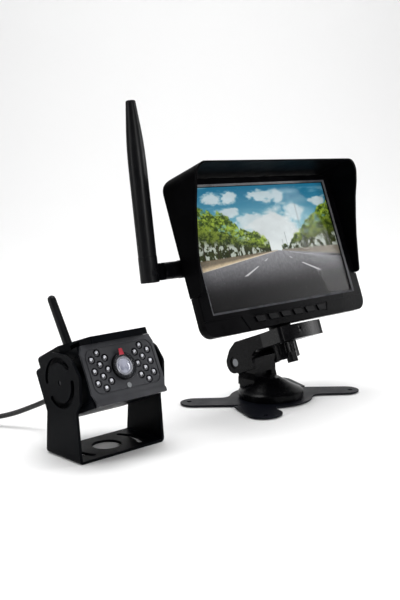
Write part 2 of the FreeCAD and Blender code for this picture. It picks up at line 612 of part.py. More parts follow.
def arc_slot(r, hw, a0, a1, p, plane, depth):
    # slot along an arc of radius r with round ends
    def pt(rr, deg):
        a = math.radians(deg)
        c, q = rr * math.cos(a), rr * math.sin(a)
        if plane == "xy":
            return V(p[0] + c, p[1] + q, p[2])
        return V(p[0], p[1] + c, p[2] + q)
    am = (a0 + a1) / 2
    da = math.degrees(hw / r)
    e = [Part.Arc(pt(r + hw, a0), pt(r + hw, am), pt(r + hw, a1)).toShape(),
         Part.Arc(pt(r + hw, a1), pt(r, a1 + da), pt(r - hw, a1)).toShape(),
         Part.Arc(pt(r - hw, a1), pt(r - hw, am), pt(r - hw, a0)).toShape(),
         Part.Arc(pt(r - hw, a0), pt(r, a0 - da), pt(r + hw, a0)).toShape()]
    vec = V(0, 0, depth) if plane == "xy" else V(depth, 0, 0)
    return Part.Face(Part.Wire(e)).extrude(vec)


out("camera_bracket", K(camera_bracket()))


# ------------------------------------------------------------ camera housing (tilted frame)
def housing_body():
    # channel open to front, back and top, its underside rising to the rear
    s = rpoly([(-HS_HW, -26.0), (HS_HW, -26.0), (HS_HW, 10.2), (-HS_HW, 10.2)], 0, "xz", -21.6, 47.6)
    s = s.common(rpoly([(-30, -23.5), (27, -20.2), (27, 20), (-30, 20)], 0, "yz", -40, 80))
    s = fillet(s, 2.0, lambda e: e.BoundBox.ZMax < -19.5 and e.BoundBox.YLength > 20)
    s = s.cut(rpoly([(-HS_HW + 2, -18.0), (HS_HW - 2, -18.0), (HS_HW - 2, 11.2), (-HS_HW + 2, 11.2)], [1.0, 1.0, 0, 0], "xz", -30, 60))
    for sx in (-1, 1):
        s = s.cut(cyl(1.45, (sx * HS_HW - 3, 0, 0), (1, 0, 0), 6))
    # raised rib along the foot of each side
    for sx in (-1, 1):
        x0 = sx * HS_HW
        s = s.fuse(box(min(x0, x0 + sx * 0.5), max(x0, x0 + sx * 0.5), -21.0, 22.0, -18.4, -17.2))
    return solo(s)


out("housing_body", T(housing_body()))


def housing_cap():
    # top cover, carried forward over the face as a tapering visor
    plan = [(-HS_HW - 0.5, 26.2), (-HS_HW - 0.5, -3.0), (-21.6, -29.6), (21.6, -29.6), (HS_HW + 0.5, -3.0), (HS_HW + 0.5, 26.2)]
    s = rpoly(plan, [2.0, 6, 1.5, 1.5, 6, 2.0], "xy", 10.4, 13.0)
    side = [(27.0, 10.0), (27.0, 20.4), (23.0, 23.1), (-3.0, 22.6), (-30.0, 19.2), (-30.0, 14.6), (-21.7, 16.4), (-21.7, 10.0)]
    s = s.common(rpoly(side, [0, 1.5, 4, 10, 0.8, 0.8, 0, 0], "yz", -40, 80))
    # skirt that closes the sides below the visor
    skirt = box(-HS_HW, HS_HW, -21.6, 20.0, 10.4, 16.0)
    skirt = skirt.common(rpoly([(30.0, 9.0), (30.0, 20.0), (-21.7, 16.4), (-21.7, 9.0)], 0, "yz", -40, 80))
    s = s.fuse(skirt).removeSplitter()
    # hollow under the crown
    s = s.cut(rpoly([(-HS_HW + 2, 24.0), (-HS_HW + 2, -19.8), (HS_HW - 2, -19.8), (HS_HW - 2, 24.0)], 2.0, "xy", 9.0, 10.4))
    s = s.cut(box(-HS_HW + 5, HS_HW - 5, -24.0, -19.0, 9.0, 13.2))
    s = fillet(s, 0.8, lambda e: e.BoundBox.ZMin > 19.0)
    return solo(s)


out("housing_cap", T(housing_cap()))

LEDS = []
for sx in (-1, 1):
    for dz in (-7.5, 0, 7.5):
        LEDS.append((sx * 11.6, LED_Z0 + dz))
        LEDS.append((sx * 21.6, LED_Z0 + dz))
    for dz in (-11.25, -3.75, 3.75, 11.25):
        LEDS.append((sx * 16.5, LED_Z0 + dz))


def face_plate():
    x = HS_HW - 0.1
    pts = [(-x + 1.4, -23.2), (x - 1.4, -23.2), (x - 1.4, -19.6), (x, -15.0), (x, 10.9), (x - 1.8, 15.9), (-x + 1.8, 15.9), (-x, 10.9),
           (-x, -15.0), (-x + 1.4, -19.6)]
    s = rpoly(pts, 0.5, "xz", FACE_Y, 1.7)
    # lower lip stands proud
    s = s.fuse(rpoly([(-x + 1.4, -23.2), (x - 1.4, -23.2), (x - 1.4, -19.9), (-x + 1.4, -19.9)], 0.6, "xz", FACE_Y - 0.9, 1.2)).removeSplitter()
    # rounded groove round the window
    g = rrect(-26.0, 26.0, -16.4, 13.0, 6.0, FACE_Y - 1, 1.5).cut(rrect(-25.1, 25.1, -15.5, 12.1, 5.2, FACE_Y - 2, 4))
    s = s.cut(g)
    for a, b in LEDS:
        s = s.cut(cyl(LED_R + 0.25, (a, FACE_Y - 2, b), (0, 1, 0), 6))
    s = s.cut(cyl(LENS_R + 0.1, (0, FACE_Y - 2, LED_Z0), (0, 1, 0), 6))
    s = s.cut(cyl(1.75, (0, FACE_Y - 2, -14.0), (0, 1, 0), 6))
    return solo(s)


out("face_plate", T(face_plate()))


def led(a, b):
    s = cyl(LED_R, (a, -18.2, b), (0, -1, 0), 3.6).fuse(cyl(LED_R + 0.35, (a, -18.2, b), (0, -1, 0), 0.8))
    ball = Part.makeSphere(LED_R, V(a, -21.8, b))
    s = s.fuse(ball.common(box(a - 4, a + 4, -26, -21.8, b - 4, b + 4))).removeSplitter()
    return s


out("ir_leds", [T(led(a, b)) for a, b in LEDS])
out("led_board", T(box(-25.6, 25.6, -18.2, -16.6, -17.4, 12.4).cut(cyl(8.6, (0, -30, LED_Z0), (0, 1, 0), 30))))
out("lens_barrel", T(ring(8.2, 6.2, (0, -21.4, LED_Z0), (0, 1, 0), 16.0).fuse(cyl(8.2, (0, -6.4, LED_Z0), (0, 1, 0), 1.0)).removeSplitter()))
lr = ring(LENS_R, 7.3, (0, -25.2, LED_Z0), (0, 1, 0), 3.7)
lr = chamfer(lr, 0.8, at_y(-25.2))
out("lens_ring", T(lr))
gl = cyl(7.2, (0, -23.9, LED_Z0), (0, 1, 0), 2.2)
out("lens_glass", T(gl))
# clear film over the lens with a red pull tab standing off its top edge
film = cyl(8.3, (0, -25.45, LED_Z0), (0, 1, 0), 0.2)
film = film.fuse(rpoly([(-1.6, LED_Z0 + 7.6), (1.6, LED_Z0 + 7.6), (1.4, LED_Z0 + 11.2), (-1.4, LED_Z0 + 11.2)], 0.3, "xz", -25.45, 0.2)).removeSplitter()
out("lens_film", T(film))
out("light_sensor", T(fuse(cyl(1.65, (0, -23.8, -14.0), (0, 1, 0), 5.6))))
out("sensor_board", T(box(-17.0, 17.0, -5.0, -3.4, -17.2, 8.0 - 0.3)))
out("radio_board", T(box(-22.0, 22.0, 8.0, 9.6, -17.2, 8.0 - 0.3)))


def CA(s):
    # frame of the camera's antenna: it leans back from the rear cover
    s = s.copy()
    s.Placement = FreeCAD.Placement(V(0.5, 29.9, 20.4), FreeCAD.Rotation(V(1, 0, 0), -5.8)).multiply(s.Placement)
    return s


GX, GZ = -6.0, 0.6


def rear_cover():
    s = rpoly([(-27.6, -19.4), (27.6, -19.4), (27.6, 17.6), (-27.6, 17.6)], 3.0, "xz", 27.0, REAR_Y - 27.0)
    s = fillet(s, 1.6, at_y(REAR_Y))
    s = s.cut(rpoly([(-21.0, -16.0), (21.0, -16.0), (21.0, 6.0), (-21.0, 6.0)], 2.0, "xz", 26.0, 5.6))
    s = s.cut(cyl(2.6, (GX, 20, GZ), (0, 1, 0), 20))
    for sx in (-1, 1):
        for z in (-16.2, 14.4):
            s = s.cut(cyl(1.45, (sx * 24.4, 20, z), (0, 1, 0), 20))
            s = s.cut(cyl(2.9, (sx * 24.4, REAR_Y - 1.6, z), (0, 1, 0), 5))
    # seat of the antenna on top
    s = s.fuse(cyl(3.3, (0.5, 30.4, 17.0), (0, 0, 1), 3.2)).removeSplitter()
    s = s.cut(CA(cyl(1.55, (0, 0, -9.0), (0, 0, 1), 12)))
    return solo(s)


out("rear_cover", T(rear_cover()))
out("rear_gasket", T(rpoly([(-27.0, -19.2), (27.0, -19.2), (27.0, 9.8), (-27.0, 9.8)], 2.0, "xz", 26.2, 0.8).cut(
    rpoly([(-22.0, -14.0), (22.0, -14.0), (22.0, 7.0), (-22.0, 7.0)], 1.0, "xz", 26.0, 3)).cut(
    cyl(1.6, (-24.4, 20, -16.2), (0, 1, 0), 20)).cut(cyl(1.6, (24.4, 20, -16.2), (0, 1, 0), 20))))
out("rear_screws", [T(fuse(cyl(1.4, (sx * 24.4, 27.0, z), (0, 1, 0), REAR_Y - 28.0), cyl(2.7, (sx * 24.4, REAR_Y - 1.55, z), (0, 1, 0), 1.4)))
                    for sx in (-1, 1) for z in (-16.2, 14.4)])
out("pivot_pins", [T(cyl(1.45, (sx * 30.4 - 2.4, 0, 0), (1, 0, 0), 4.8)) for sx in (-1, 1)])
out("pivot_bushings", [T(ring(7.5, 1.5, (28.3 if sx > 0 else -31.1, 0, 0), (1, 0, 0), 2.8)) for sx in (-1, 1)])

# stub antenna on the rear cover
pts = [(0, 0.4), (3.2, 0.4), (3.2, 8.0), (3.1, 26.0), (2.95, 43.2), (2.5, 44.9), (1.5, 45.8), (0, 46.1)]
pv = [V(r, 0, z) for r, z in pts]
can = Part.Face(Part.makePolygon(pv + [pv[0]])).revolve(V(0, 0, 0), V(0, 0, 1), 360)
can = can.fuse(cyl(1.5, (0, 0, -5.0), (0, 0, 1), 6.0)).removeSplitter()
out("camera_antenna", T(CA(solo(can))))

# lead: gland nut, tapered relief
hexg = [(GX + 5.6 * math.cos(math.radians(60 * i)), GZ + 5.6 * math.sin(math.radians(60 * i))) for i in range(6)]
gland = rpoly(hexg, 0, "xz", REAR_Y, 3.2).fuse(cyl(2.55, (GX, REAR_Y - 6.0, GZ), (0, 1, 0), 7.0)).removeSplitter()
out("cable_gland", T(solo(gland)))
RL = 13.0
relief = cone(3.9, 2.15, (GX, REAR_Y + 3.2, GZ), (0, 1, 0), RL)
for i in range(4):
    relief = relief.cut(ring(6.0, 3.35 - 0.32 * i, (GX, REAR_Y + 4.8 + 2.6 * i, GZ), (0, 1, 0), 0.7))
out("strain_relief", T(solo(relief)))

# ------------------------------------------------------------ the lead itself
tc, ts = math.cos(math.radians(TILT)), math.sin(math.radians(TILT))


def t2r(x, y, z):
    return V(OK[0] + x, OK[1] + y * tc + z * ts, OK[2] + KZ - y * ts + z * tc)


E0 = t2r(GX, REAR_Y + 3.2 + RL + 0.3, GZ)
ED = t2r(GX, REAR_Y + 3.2 + RL + 15.5, GZ)
COIL_C = (-216.5, 101.0)
COIL_R, COIL_W, COIL_H = 18.4, 5.4, 10.8
ROUTE = [E0, ED, V(-171.0, 70.2, 15.1), V(-178.0, 81.4, 10.0), V(-185.0, 92.4, 6.6), V(-193.0, 103.6, 5.4), V(-203.4, 112.6, 5.4)]
print("cord exit", [round(c, 2) for c in E0])


def tube(route, r):
    n = len(route)
    dirs = [(route[i + 1] - route[i]) for i in range(n - 1)]
    lens = [d.Length for d in dirs]
    dirs = [d.normalize() for d in dirs]
    edges = []
    pos = route[0]
    length = 0.0
    for i in range(1, n - 1):
        turn = math.acos(max(-1, min(1, dirs[i - 1].dot(dirs[i]))))
        run = 0.45 * min(lens[i - 1], lens[i])
        R = run / math.tan(turn / 2)
        s = route[i] - dirs[i - 1] * run
        e = route[i] + dirs[i] * run
        bis = (dirs[i] - dirs[i - 1]).normalize()
        m = route[i] + bis * (R / math.cos(turn / 2) - R)
        if (s - pos).Length > 1e-6:
            edges.append(Part.LineSegment(pos, s).toShape())
            length += (s - pos).Length
        edges.append(Part.Arc(s, m, e).toShape())
        length += R * turn
        print("cord point %d turn %.0f radius %.1f run %.1f" % (i, math.degrees(turn), R, lens[i]))
        pos = e
    edges.append(Part.LineSegment(pos, route[-1]).toShape())
    length += (route[-1] - pos).Length
    w = Part.Wire(edges)
    c = Part.Wire([Part.Circle(route[0], dirs[0], r).toShape()])
    s = w.makePipeShell([c], True, False)
    print("cord tube volume %.1f  section x length %.1f  length %.1f valid %s" % (s.Volume, math.pi * r * r * length, length, s.isValid()))
    return s, length


cab, cab_len = tube(ROUTE, CABLE_D / 2)
out("camera_cable", cab)


def torus_ring(c, rm, hw, z0, z1, rr):
    prof = rpoly([(c[0] + rm - hw, z0), (c[0] + rm + hw, z0), (c[0] + rm + hw, z1), (c[0] + rm - hw, z1)], rr, "xz", c[1], 1.0)
    f = [q for q in prof.Faces if abs(q.BoundBox.YMax - c[1]) < 1e-4][0]
    return f.revolve(V(c[0], c[1], 0), V(0, 0, 1), 360)


coil = torus_ring(COIL_C, COIL_R, COIL_W, 0.0, COIL_H, 1.7)
out("cable_coil", coil)
# tie round the coil
ta = math.radians(200)
tcx, tcy = COIL_C[0] + COIL_R * math.cos(ta), COIL_C[1] + COIL_R * math.sin(ta)
tie_o = rpoly([(COIL_R - COIL_W - 0.9, -0.0), (COIL_R + COIL_W + 0.9, -0.0), (COIL_R + COIL_W + 0.9, COIL_H + 0.9), (COIL_R - COIL_W - 0.9, COIL_H + 0.9)], 2.0, "xz", -2.0, 4.0)
tie_i = rpoly([(COIL_R - COIL_W - 0.25, -3.0), (COIL_R + COIL_W + 0.05, -3.0), (COIL_R + COIL_W + 0.05, COIL_H + 0.05), (COIL_R - COIL_W - 0.25, COIL_H + 0.05)], 1.3, "xz", -3.0, 6.0)
tie = tie_o.cut(tie_i)
tie.Placement = FreeCAD.Placement(V(COIL_C[0], COIL_C[1], 0), FreeCAD.Rotation(V(0, 0, 1), 200))
out("cable_tie", tie)
# plug beside the coil: barrel connector with its boot
pa = math.radians(205)
pd = V(math.cos(math.radians(188)), math.sin(math.radians(188)), 0)
rr = COIL_R + COIL_W + 0.7
pb = math.radians(118)
p0 = V(COIL_C[0] + rr * math.cos(pb), COIL_C[1] + rr * math.sin(pb), 5.2)
boot = Part.makeCone(2.0, 4.0, 10.0, p0, pd)
body = Part.makeCylinder(4.8, 18.0, p0 + pd * 10.0, pd)
sock = Part.makeCylinder(2.9, 11.0, p0 + pd * 18.0, pd)
pin = Part.makeCylinder(0.7, 8.5, p0 + pd * 18.0, pd)
plug = boot.fuse(body).removeSplitter().cut(sock).fuse(pin).removeSplitter()
out("dc_connector", solo(plug))
print("nodes", len(NODES))
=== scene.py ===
import math
import bpy
import bmesh
import numpy as np
from mathutils import Matrix, Vector


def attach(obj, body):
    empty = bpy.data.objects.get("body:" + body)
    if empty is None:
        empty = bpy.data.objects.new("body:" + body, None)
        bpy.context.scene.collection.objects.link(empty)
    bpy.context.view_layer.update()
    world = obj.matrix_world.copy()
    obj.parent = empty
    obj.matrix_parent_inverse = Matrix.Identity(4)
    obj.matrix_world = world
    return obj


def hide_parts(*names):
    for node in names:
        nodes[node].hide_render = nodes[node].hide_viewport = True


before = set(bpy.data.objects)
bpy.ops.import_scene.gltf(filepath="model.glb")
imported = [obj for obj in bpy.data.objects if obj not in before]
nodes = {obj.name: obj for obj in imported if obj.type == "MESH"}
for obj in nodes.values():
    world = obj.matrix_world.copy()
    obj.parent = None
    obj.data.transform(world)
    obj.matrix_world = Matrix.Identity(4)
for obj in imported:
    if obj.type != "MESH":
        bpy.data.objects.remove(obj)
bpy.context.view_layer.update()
scene = bpy.context.scene
MM = 0.001

# ------------------------------------------------------------------ camera
right = Vector((0.741789, -0.669986, -0.029462))
down = Vector((-0.118084, -0.087242, -0.989164))
fwd = Vector((0.660155, 0.737230, -0.143830))
cam_data = bpy.data.cameras.new("cam")
cam_data.lens = 51.616
cam_data.sensor_width = 36.0
cam_data.clip_start = 0.01
cam_data.clip_end = 50.0
cam = bpy.data.objects.new("cam", cam_data)
cam.matrix_world = Matrix(((right.x, -down.x, -fwd.x, -0.474891),
                           (right.y, -down.y, -fwd.y, -0.450815),
                           (right.z, -down.z, -fwd.z, 0.173706),
                           (0, 0, 0, 1)))
scene.collection.objects.link(cam)
scene.camera = cam

# ------------------------------------------------------------------ frames
LEAN = math.radians(19.3)
TILT = math.radians(24.85)
F_M = Matrix.Translation((0.0, -0.005, 0.122)) @ Matrix.Rotation(-LEAN, 4, "X")
F_T = Matrix.Translation((-0.1607, -0.0045, 0.0488)) @ Matrix.Rotation(-TILT, 4, "X")
F_K = Matrix.Translation((-0.1607, -0.0045, 0.0))


def mmat(m, x, y, z):
    return m @ Vector((x * MM, y * MM, z * MM))


# ------------------------------------------------------------------ the lead
def t2r(x, y, z):
    return mmat(F_T, x, y, z)


GX, GZ = -6.0, 0.6
E0 = t2r(GX, 34.4 + 3.2 + 13.0 + 0.3, GZ)
ED = t2r(GX, 34.4 + 3.2 + 13.0 + 15.5, GZ)
route = [E0, ED] + [Vector(p) * MM for p in ((-171.0, 70.2, 15.1), (-178.0, 81.4, 10.0), (-185.0, 92.4, 6.6), (-193.0, 103.6, 5.4))]
CC = (-216.5, 101.0)
CELLS = [(18.4, 5.4), (18.4, 9.0), (14.8, 9.0), (14.8, 5.4), (14.8, 1.8), (18.4, 1.8), (22.0, 1.8), (22.0, 5.4)]
W_TR = 36.0
pts = []
a = 41.5
a_tr = 330.0       # angle where the first change of layer starts
c = 0
step = 15.0
a_end = None
ang = a
bounds_tr = []
cur = a_tr
for k in range(len(CELLS) - 1):
    bounds_tr.append((cur, cur + W_TR))
    cur = cur + 360.0 - W_TR
last_end = bounds_tr[-1][1]
# the last turn leaves the coil at 118 degrees, towards the connector
stop = last_end
while (stop - 85.0) % 360.0 > 1e-6:
    stop += 0.5
if stop - last_end > 352:
    stop -= 360


def cell_at(t):
    r, z = CELLS[0]
    for i, (s0, s1) in enumerate(bounds_tr):
        if t >= s1:
            r, z = CELLS[i + 1]
        elif t > s0:
            f = (t - s0) / (s1 - s0)
            f = f * f * (3 - 2 * f)
            r0, z0 = CELLS[i]
            r1, z1 = CELLS[i + 1]
            return r0 + (r1 - r0) * f, z0 + (z1 - z0) * f
    return r, z


t = 52.0
while t < stop - 1e-6:
    r, z = cell_at(t)
    q = math.radians(t)
    pts.append(Vector((CC[0] + r * math.cos(q), CC[1] + r * math.sin(q), z)) * MM)
    t += step
tail = ((85.0, 22.0, 5.4), (96.0, 22.25, 5.35), (107.0, 23.05, 5.25), (118.0, 24.6, 5.2))
for deg, r, z in tail:
    q = math.radians(deg)
    pts.append(Vector((CC[0] + r * math.cos(q), CC[1] + r * math.sin(q), z)) * MM)
route_pts = route + pts
curve = bpy.data.curves.new("camera_lead", "CURVE")
curve.dimensions = "3D"
sp = curve.splines.new("NURBS")
sp.points.add(len(route_pts) - 1)
for i, p in enumerate(route_pts):
    sp.points[i].co = (p.x, p.y, p.z, 1.0)
    sp.points[i].radius = 1.8 * MM
sp.order_u = 3
sp.use_endpoint_u = True
sp.resolution_u = 6
curve.bevel_depth = 1.0
curve.bevel_resolution = 5
curve.use_fill_caps = True
lead = bpy.data.objects.new("camera_lead", curve)
scene.collection.objects.link(lead)
probe = bpy.data.curves.new("probe", "CURVE")
probe.dimensions = "3D"
ps = probe.splines.new("NURBS")
ps.points.add(len(route_pts) - 1)
for i, p in enumerate(route_pts):
    ps.points[i].co = (p.x, p.y, p.z, 1.0)
ps.order_u = 3
ps.use_endpoint_u = True
ps.resolution_u = 6
po = bpy.data.objects.new("probe", probe)
scene.collection.objects.link(po)
bpy.context.view_layer.update()
pm = bpy.data.meshes.new_from_object(po)
bpy.data.objects.remove(po)
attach(lead, "bracket")
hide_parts("camera_cable", "cable_coil")

# ------------------------------------------------------------------ materials
MATS = {}


def new_mat(name):
    m = bpy.data.materials.new(name)
    m.use_nodes = True
    nt = m.node_tree
    b = nt.nodes["Principled BSDF"]
    return m, nt, b


def noise(nt, vec, scale, detail=3.0, rough=0.55):
    n = nt.nodes.new("ShaderNodeTexNoise")
    n.inputs["Scale"].default_value = scale
    n.inputs["Detail"].default_value = detail
    n.inputs["Roughness"].default_value = rough
    nt.links.new(vec, n.inputs["Vector"])
    return n


def ramp(nt, fac, stops):
    r = nt.nodes.new("ShaderNodeValToRGB")
    els = r.color_ramp.elements
    while len(els) < len(stops):
        els.new(0.5)
    for e, (pos, col) in zip(els, stops):
        e.position = pos
        e.color = (*col, 1.0) if len(col) == 3 else col
    nt.links.new(fac, r.inputs["Fac"])
    return r


def grained(name, col, rough, spec=0.5, metal=0.0, grain=1500.0, bump=0.15, depth=0.00006, var=0.25, rvar=0.10, coat=0.0, coat_rough=0.2,
            patch=60.0, stretch=None, dust=0.0):
    """Base colour that drifts a little over centimetres, a fine grain in the bump, and roughness that varies with both."""
    m, nt, b = new_mat(name)
    tc = nt.nodes.new("ShaderNodeTexCoord")
    vec = tc.outputs["Object"]
    if stretch:
        mp = nt.nodes.new("ShaderNodeMapping")
        mp.inputs["Scale"].default_value = stretch
        nt.links.new(vec, mp.inputs["Vector"])
        fine_vec = mp.outputs["Vector"]
    else:
        fine_vec = vec
    big = noise(nt, vec, patch, 4.0, 0.6)
    fine = noise(nt, fine_vec, grain, 2.0, 0.5)
    lo = tuple(max(0.0, c * (1 - var)) for c in col)
    hi = tuple(min(1.0, c * (1 + var) + dust) for c in col)
    cr = ramp(nt, big.outputs["Fac"], [(0.3, lo), (0.7, hi)])
    nt.links.new(cr.outputs["Color"], b.inputs["Base Color"])
    mr = nt.nodes.new("ShaderNodeMapRange")
    mr.inputs["From Min"].default_value = 0.3
    mr.inputs["From Max"].default_value = 0.7
    mr.inputs["To Min"].default_value = max(0.02, rough - rvar)
    mr.inputs["To Max"].default_value = min(1.0, rough + rvar)
    mix = nt.nodes.new("ShaderNodeMath")
    mix.operation = "MULTIPLY_ADD"
    mix.inputs[1].default_value = 0.4
    nt.links.new(fine.outputs["Fac"], mix.inputs[0])
    sc = nt.nodes.new("ShaderNodeMath")
    sc.operation = "MULTIPLY"
    sc.inputs[1].default_value = 0.6
    nt.links.new(big.outputs["Fac"], sc.inputs[0])
    nt.links.new(sc.outputs[0], mix.inputs[2])
    nt.links.new(mix.outputs[0], mr.inputs["Value"])
    nt.links.new(mr.outputs["Result"], b.inputs["Roughness"])
    bp = nt.nodes.new("ShaderNodeBump")
    bp.inputs["Strength"].default_value = bump
    bp.inputs["Distance"].default_value = depth
    nt.links.new(fine.outputs["Fac"], bp.inputs["Height"])
    nt.links.new(bp.outputs["Normal"], b.inputs["Normal"])
    b.inputs["Metallic"].default_value = metal
    b.inputs["Specular IOR Level"].default_value = spec
    b.inputs["Coat Weight"].default_value = coat
    b.inputs["Coat Roughness"].default_value = coat_rough
    MATS[name] = m
    return m


bezel_m = grained("moulded_bezel", (0.0018, 0.0018, 0.0023), 0.30, spec=0.022, grain=2600, bump=0.08, depth=0.00003)
case_m = grained("moulded_case", (0.0018, 0.0018, 0.0023), 0.42, spec=0.045, grain=1800, bump=0.20, depth=0.00006)
hood_m = grained("moulded_hood", (0.0014, 0.0014, 0.0018), 0.40, spec=0.018, grain=2200, bump=0.05, depth=0.00003)
stand_m = grained("moulded_stand", (0.0022, 0.0022, 0.0028), 0.27, spec=0.09, grain=1700, bump=0.12, depth=0.00005)
key_m = grained("moulded_keys", (0.0035, 0.0035, 0.0042), 0.42, spec=0.05, grain=2600, bump=0.12, depth=0.00004)
rubber_m = grained("moulded_rubber", (0.0040, 0.0040, 0.0050), 0.38, spec=0.17, grain=1300, bump=0.15, depth=0.00006)
sleeve_m = grained("moulded_sleeve", (0.0022, 0.0022, 0.0030), 0.33, spec=0.07, grain=1500, bump=0.12, depth=0.00005)
coat_m = grained("powder_coat", (0.0018, 0.0023, 0.0033), 0.42, spec=0.030, grain=1100, bump=0.35, depth=0.00009, var=0.2)
plate_m = grained("coated_plate", (0.0045, 0.0052, 0.0085), 0.42, spec=0.075, grain=1100, bump=0.30, depth=0.00008, var=0.2)
face_m = grained("satin_face", (0.0420, 0.0430, 0.0480), 0.38, spec=0.30, metal=0.10, grain=2400, bump=0.18, depth=0.00004, var=0.12)
steel_m = grained("turned_steel", (0.16, 0.165, 0.175), 0.32, spec=0.5, metal=1.0, grain=2200, bump=0.15, depth=0.00003, var=0.1)
dark_steel_m = grained("blackened_steel", (0.02, 0.02, 0.024), 0.35, spec=0.4, metal=0.8, grain=2200, bump=0.12, depth=0.00003, var=0.1)
brass_m = grained("turned_brass", (0.62, 0.45, 0.20), 0.3, metal=1.0, grain=2200, bump=0.15, depth=0.00003, var=0.1)
foam_m = grained("foam_pad", (0.012, 0.012, 0.012), 0.9, spec=0.2, grain=900, bump=0.8, depth=0.0002)
board_m = grained("circuit_board", (0.012, 0.075, 0.030), 0.4, grain=700, bump=0.2, depth=0.00008)
part_m = grained("moulded_black", (0.0028, 0.0028, 0.0034), 0.32, spec=0.10, grain=1800, bump=0.15, depth=0.00006)
panel_m = grained("panel_black", (0.004, 0.004, 0.005), 0.35, spec=0.15, grain=1800, bump=0.1, depth=0.00003)


def clear(name, col, rough, ior=1.5, trans=1.0, alpha=1.0, spec=0.5):
    m, nt, b = new_mat(name)
    tc = nt.nodes.new("ShaderNodeTexCoord")
    n = noise(nt, tc.outputs["Object"], 120.0, 3.0)
    mr = nt.nodes.new("ShaderNodeMapRange")
    mr.inputs["To Min"].default_value = max(0.0, rough - 0.02)
    mr.inputs["To Max"].default_value = rough + 0.02
    nt.links.new(n.outputs["Fac"], mr.inputs["Value"])
    nt.links.new(mr.outputs["Result"], b.inputs["Roughness"])
    cr = ramp(nt, n.outputs["Fac"], [(0.3, tuple(c * 0.97 for c in col)), (0.7, col)])
    nt.links.new(cr.outputs["Color"], b.inputs["Base Color"])
    b.inputs["IOR"].default_value = ior
    b.inputs["Transmission Weight"].default_value = trans
    b.inputs["Alpha"].default_value = alpha
    b.inputs["Specular IOR Level"].default_value = spec
    MATS[name] = m
    return m


glass_m = clear("cover_glass", (0.010, 0.010, 0.011), 0.04, ior=1.45, alpha=0.05, trans=0.0, spec=0.3)
led_m = clear("clear_epoxy", (0.022, 0.022, 0.028), 0.10, ior=1.5, trans=0.0, spec=0.7)
lens_m = clear("coated_lens", (0.13, 0.135, 0.165), 0.06, ior=1.6, trans=0.0, spec=0.9)
cell_m = clear("light_cell", (0.24, 0.25, 0.26), 0.15, ior=1.5, trans=0.0, spec=0.6)


def film_mat():
    # clear film with a red tab at its top, told apart by height in the lens's own frame
    m, nt, b = new_mat("pull_film")
    tc = nt.nodes.new("ShaderNodeTexCoord")
    mp = nt.nodes.new("ShaderNodeMapping")
    inv = F_T.inverted()
    mp.inputs["Rotation"].default_value = (TILT, 0, 0)
    mp.inputs["Location"].default_value = tuple(inv.translation)
    nt.links.new(tc.outputs["Object"], mp.inputs["Vector"])
    sx = nt.nodes.new("ShaderNodeSeparateXYZ")
    nt.links.new(mp.outputs["Vector"], sx.inputs[0])
    step = nt.nodes.new("ShaderNodeMapRange")
    step.inputs["From Min"].default_value = 0.00520
    step.inputs["From Max"].default_value = 0.00535
    nt.links.new(sx.outputs["Z"], step.inputs["Value"])
    ax = nt.nodes.new("ShaderNodeMath")
    ax.operation = "ABSOLUTE"
    nt.links.new(sx.outputs["X"], ax.inputs[0])
    st2 = nt.nodes.new("ShaderNodeMapRange")
    st2.inputs["From Min"].default_value = 0.00190
    st2.inputs["From Max"].default_value = 0.00175
    nt.links.new(ax.outputs[0], st2.inputs["Value"])
    mu = nt.nodes.new("ShaderNodeMath")
    mu.operation = "MULTIPLY"
    nt.links.new(step.outputs["Result"], mu.inputs[0])
    nt.links.new(st2.outputs["Result"], mu.inputs[1])
    nz = noise(nt, tc.outputs["Object"], 900.0)
    red = ramp(nt, nz.outputs["Fac"], [(0.3, (0.36, 0.03, 0.05)), (0.7, (0.50, 0.06, 0.08))])
    mx = nt.nodes.new("ShaderNodeMixRGB")
    mx.inputs[1].default_value = (0.30, 0.31, 0.35, 1)
    nt.links.new(mu.outputs[0], mx.inputs[0])
    nt.links.new(red.outputs["Color"], mx.inputs[2])
    nt.links.new(mx.outputs["Color"], b.inputs["Base Color"])
    al = nt.nodes.new("ShaderNodeMapRange")
    al.inputs["To Min"].default_value = 0.03
    al.inputs["To Max"].default_value = 1.0
    nt.links.new(mu.outputs[0], al.inputs["Value"])
    nt.links.new(al.outputs["Result"], b.inputs["Alpha"])
    b.inputs["Roughness"].default_value = 0.12
    b.inputs["Specular IOR Level"].default_value = 0.5
    return m


film_m = film_mat()
tab_m = grained("red_tab", (0.34, 0.035, 0.055), 0.35, spec=0.5, grain=1500, bump=0.1, depth=0.00003)

NODE_MAT = {
    "front_bezel": bezel_m, "rear_case": case_m, "sun_hood": hood_m, "tilt_arm": stand_m, "base_dome": stand_m, "clamp_knob": stand_m,
    "swivel_pad": case_m, "power_inlet": part_m, "antenna_rod": rubber_m, "antenna_collar": sleeve_m, "antenna_pin": dark_steel_m,
    "base_plate": plate_m, "adhesive_pad": foam_m, "base_screws": steel_m, "pivot_bolt": steel_m, "pivot_nut": steel_m,
    "pivot_washers": steel_m, "clamp_stud": steel_m, "case_screws": steel_m, "rear_screws": steel_m, "pivot_pins": dark_steel_m,
    "stud_insert": brass_m, "antenna_socket": brass_m, "screen_glass": glass_m, "lcd_panel": panel_m, "main_board": board_m,
    "button_board": board_m, "button_switches": part_m, "speaker": part_m, "camera_bracket": coat_m, "housing_body": coat_m,
    "housing_cap": coat_m, "rear_cover": coat_m, "face_plate": face_m, "ir_leds": led_m, "led_board": board_m, "lens_barrel": part_m,
    "lens_ring": part_m, "lens_glass": lens_m, "lens_film": film_m, "light_sensor": cell_m, "sensor_board": board_m,
    "radio_board": board_m, "rear_gasket": rubber_m, "pivot_bushings": part_m, "camera_antenna": rubber_m, "cable_gland": part_m,
    "strain_relief": rubber_m, "cable_tie": part_m, "dc_connector": part_m,
}
for i in range(6):
    NODE_MAT["button_%d" % (i + 1)] = key_m
